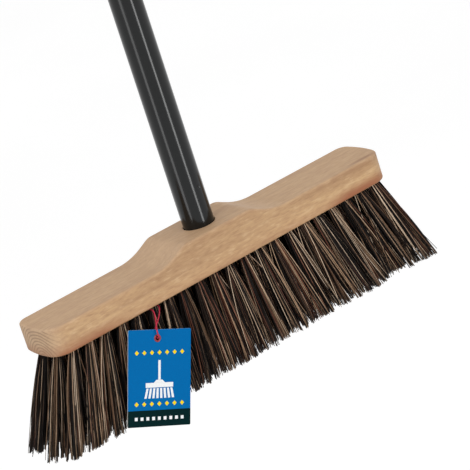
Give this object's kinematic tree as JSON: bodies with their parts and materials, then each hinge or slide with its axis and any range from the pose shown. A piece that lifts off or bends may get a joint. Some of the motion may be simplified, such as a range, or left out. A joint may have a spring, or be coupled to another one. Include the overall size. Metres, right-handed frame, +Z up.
{
  "type": "push broom",
  "caption": "Push broom: wooden head with staggered rows of mixed natural fibre tufts, a coated metal handle screwed into its boss, a plastic hanging cap and a swinging card tag.",
  "frame": {"origin": "centre of the hanging hole in the end cap; the broom hangs below it", "axes": "+X along the head, which is the hanging hole's axis; -Y is the front, where the tag hangs; +Z up along the handle"},
  "size_m": [0.3304, 0.0665, 1.5892],
  "materials": {
    "beech": "sanded, unvarnished",
    "fibre": "mixed dark natural fibre",
    "steel_wire": "drawn wire",
    "coated_tube": "semi-gloss anthracite coating",
    "plug_plastic": "moulded",
    "cap_plastic": "fine moulded grain",
    "tag_card": "printed card",
    "eyelet_metal": "lacquered",
    "red_cord": "twisted thread"
  },
  "bodies": {
    "broom": {"broom_block": "beech", "bristle_row_1": "fibre", "bristle_row_2": "fibre", "bristle_row_3": "fibre", "bristle_row_4": "fibre", "bristle_row_5": "fibre", "staple_row_1": "steel_wire", "staple_row_2": "steel_wire", "staple_row_3": "steel_wire", "staple_row_4": "steel_wire", "staple_row_5": "steel_wire", "handle_tube": "coated_tube", "thread_plug": "plug_plastic", "end_cap": "cap_plastic", "tag_cord": "red_cord", "cord_knot": "red_cord"},
    "tag": {"tag_card": "tag_card", "tag_eyelet": "eyelet_metal"}
  },
  "joints": [
    {"name": "tag_swing", "type": "hinge", "parent": "broom", "child": "tag", "pos_m": [-0.0731, -0.029, -1.5186], "axis": [0, -0.9962, 0.0872], "range_deg": [-22.5, 45]}
  ]
}
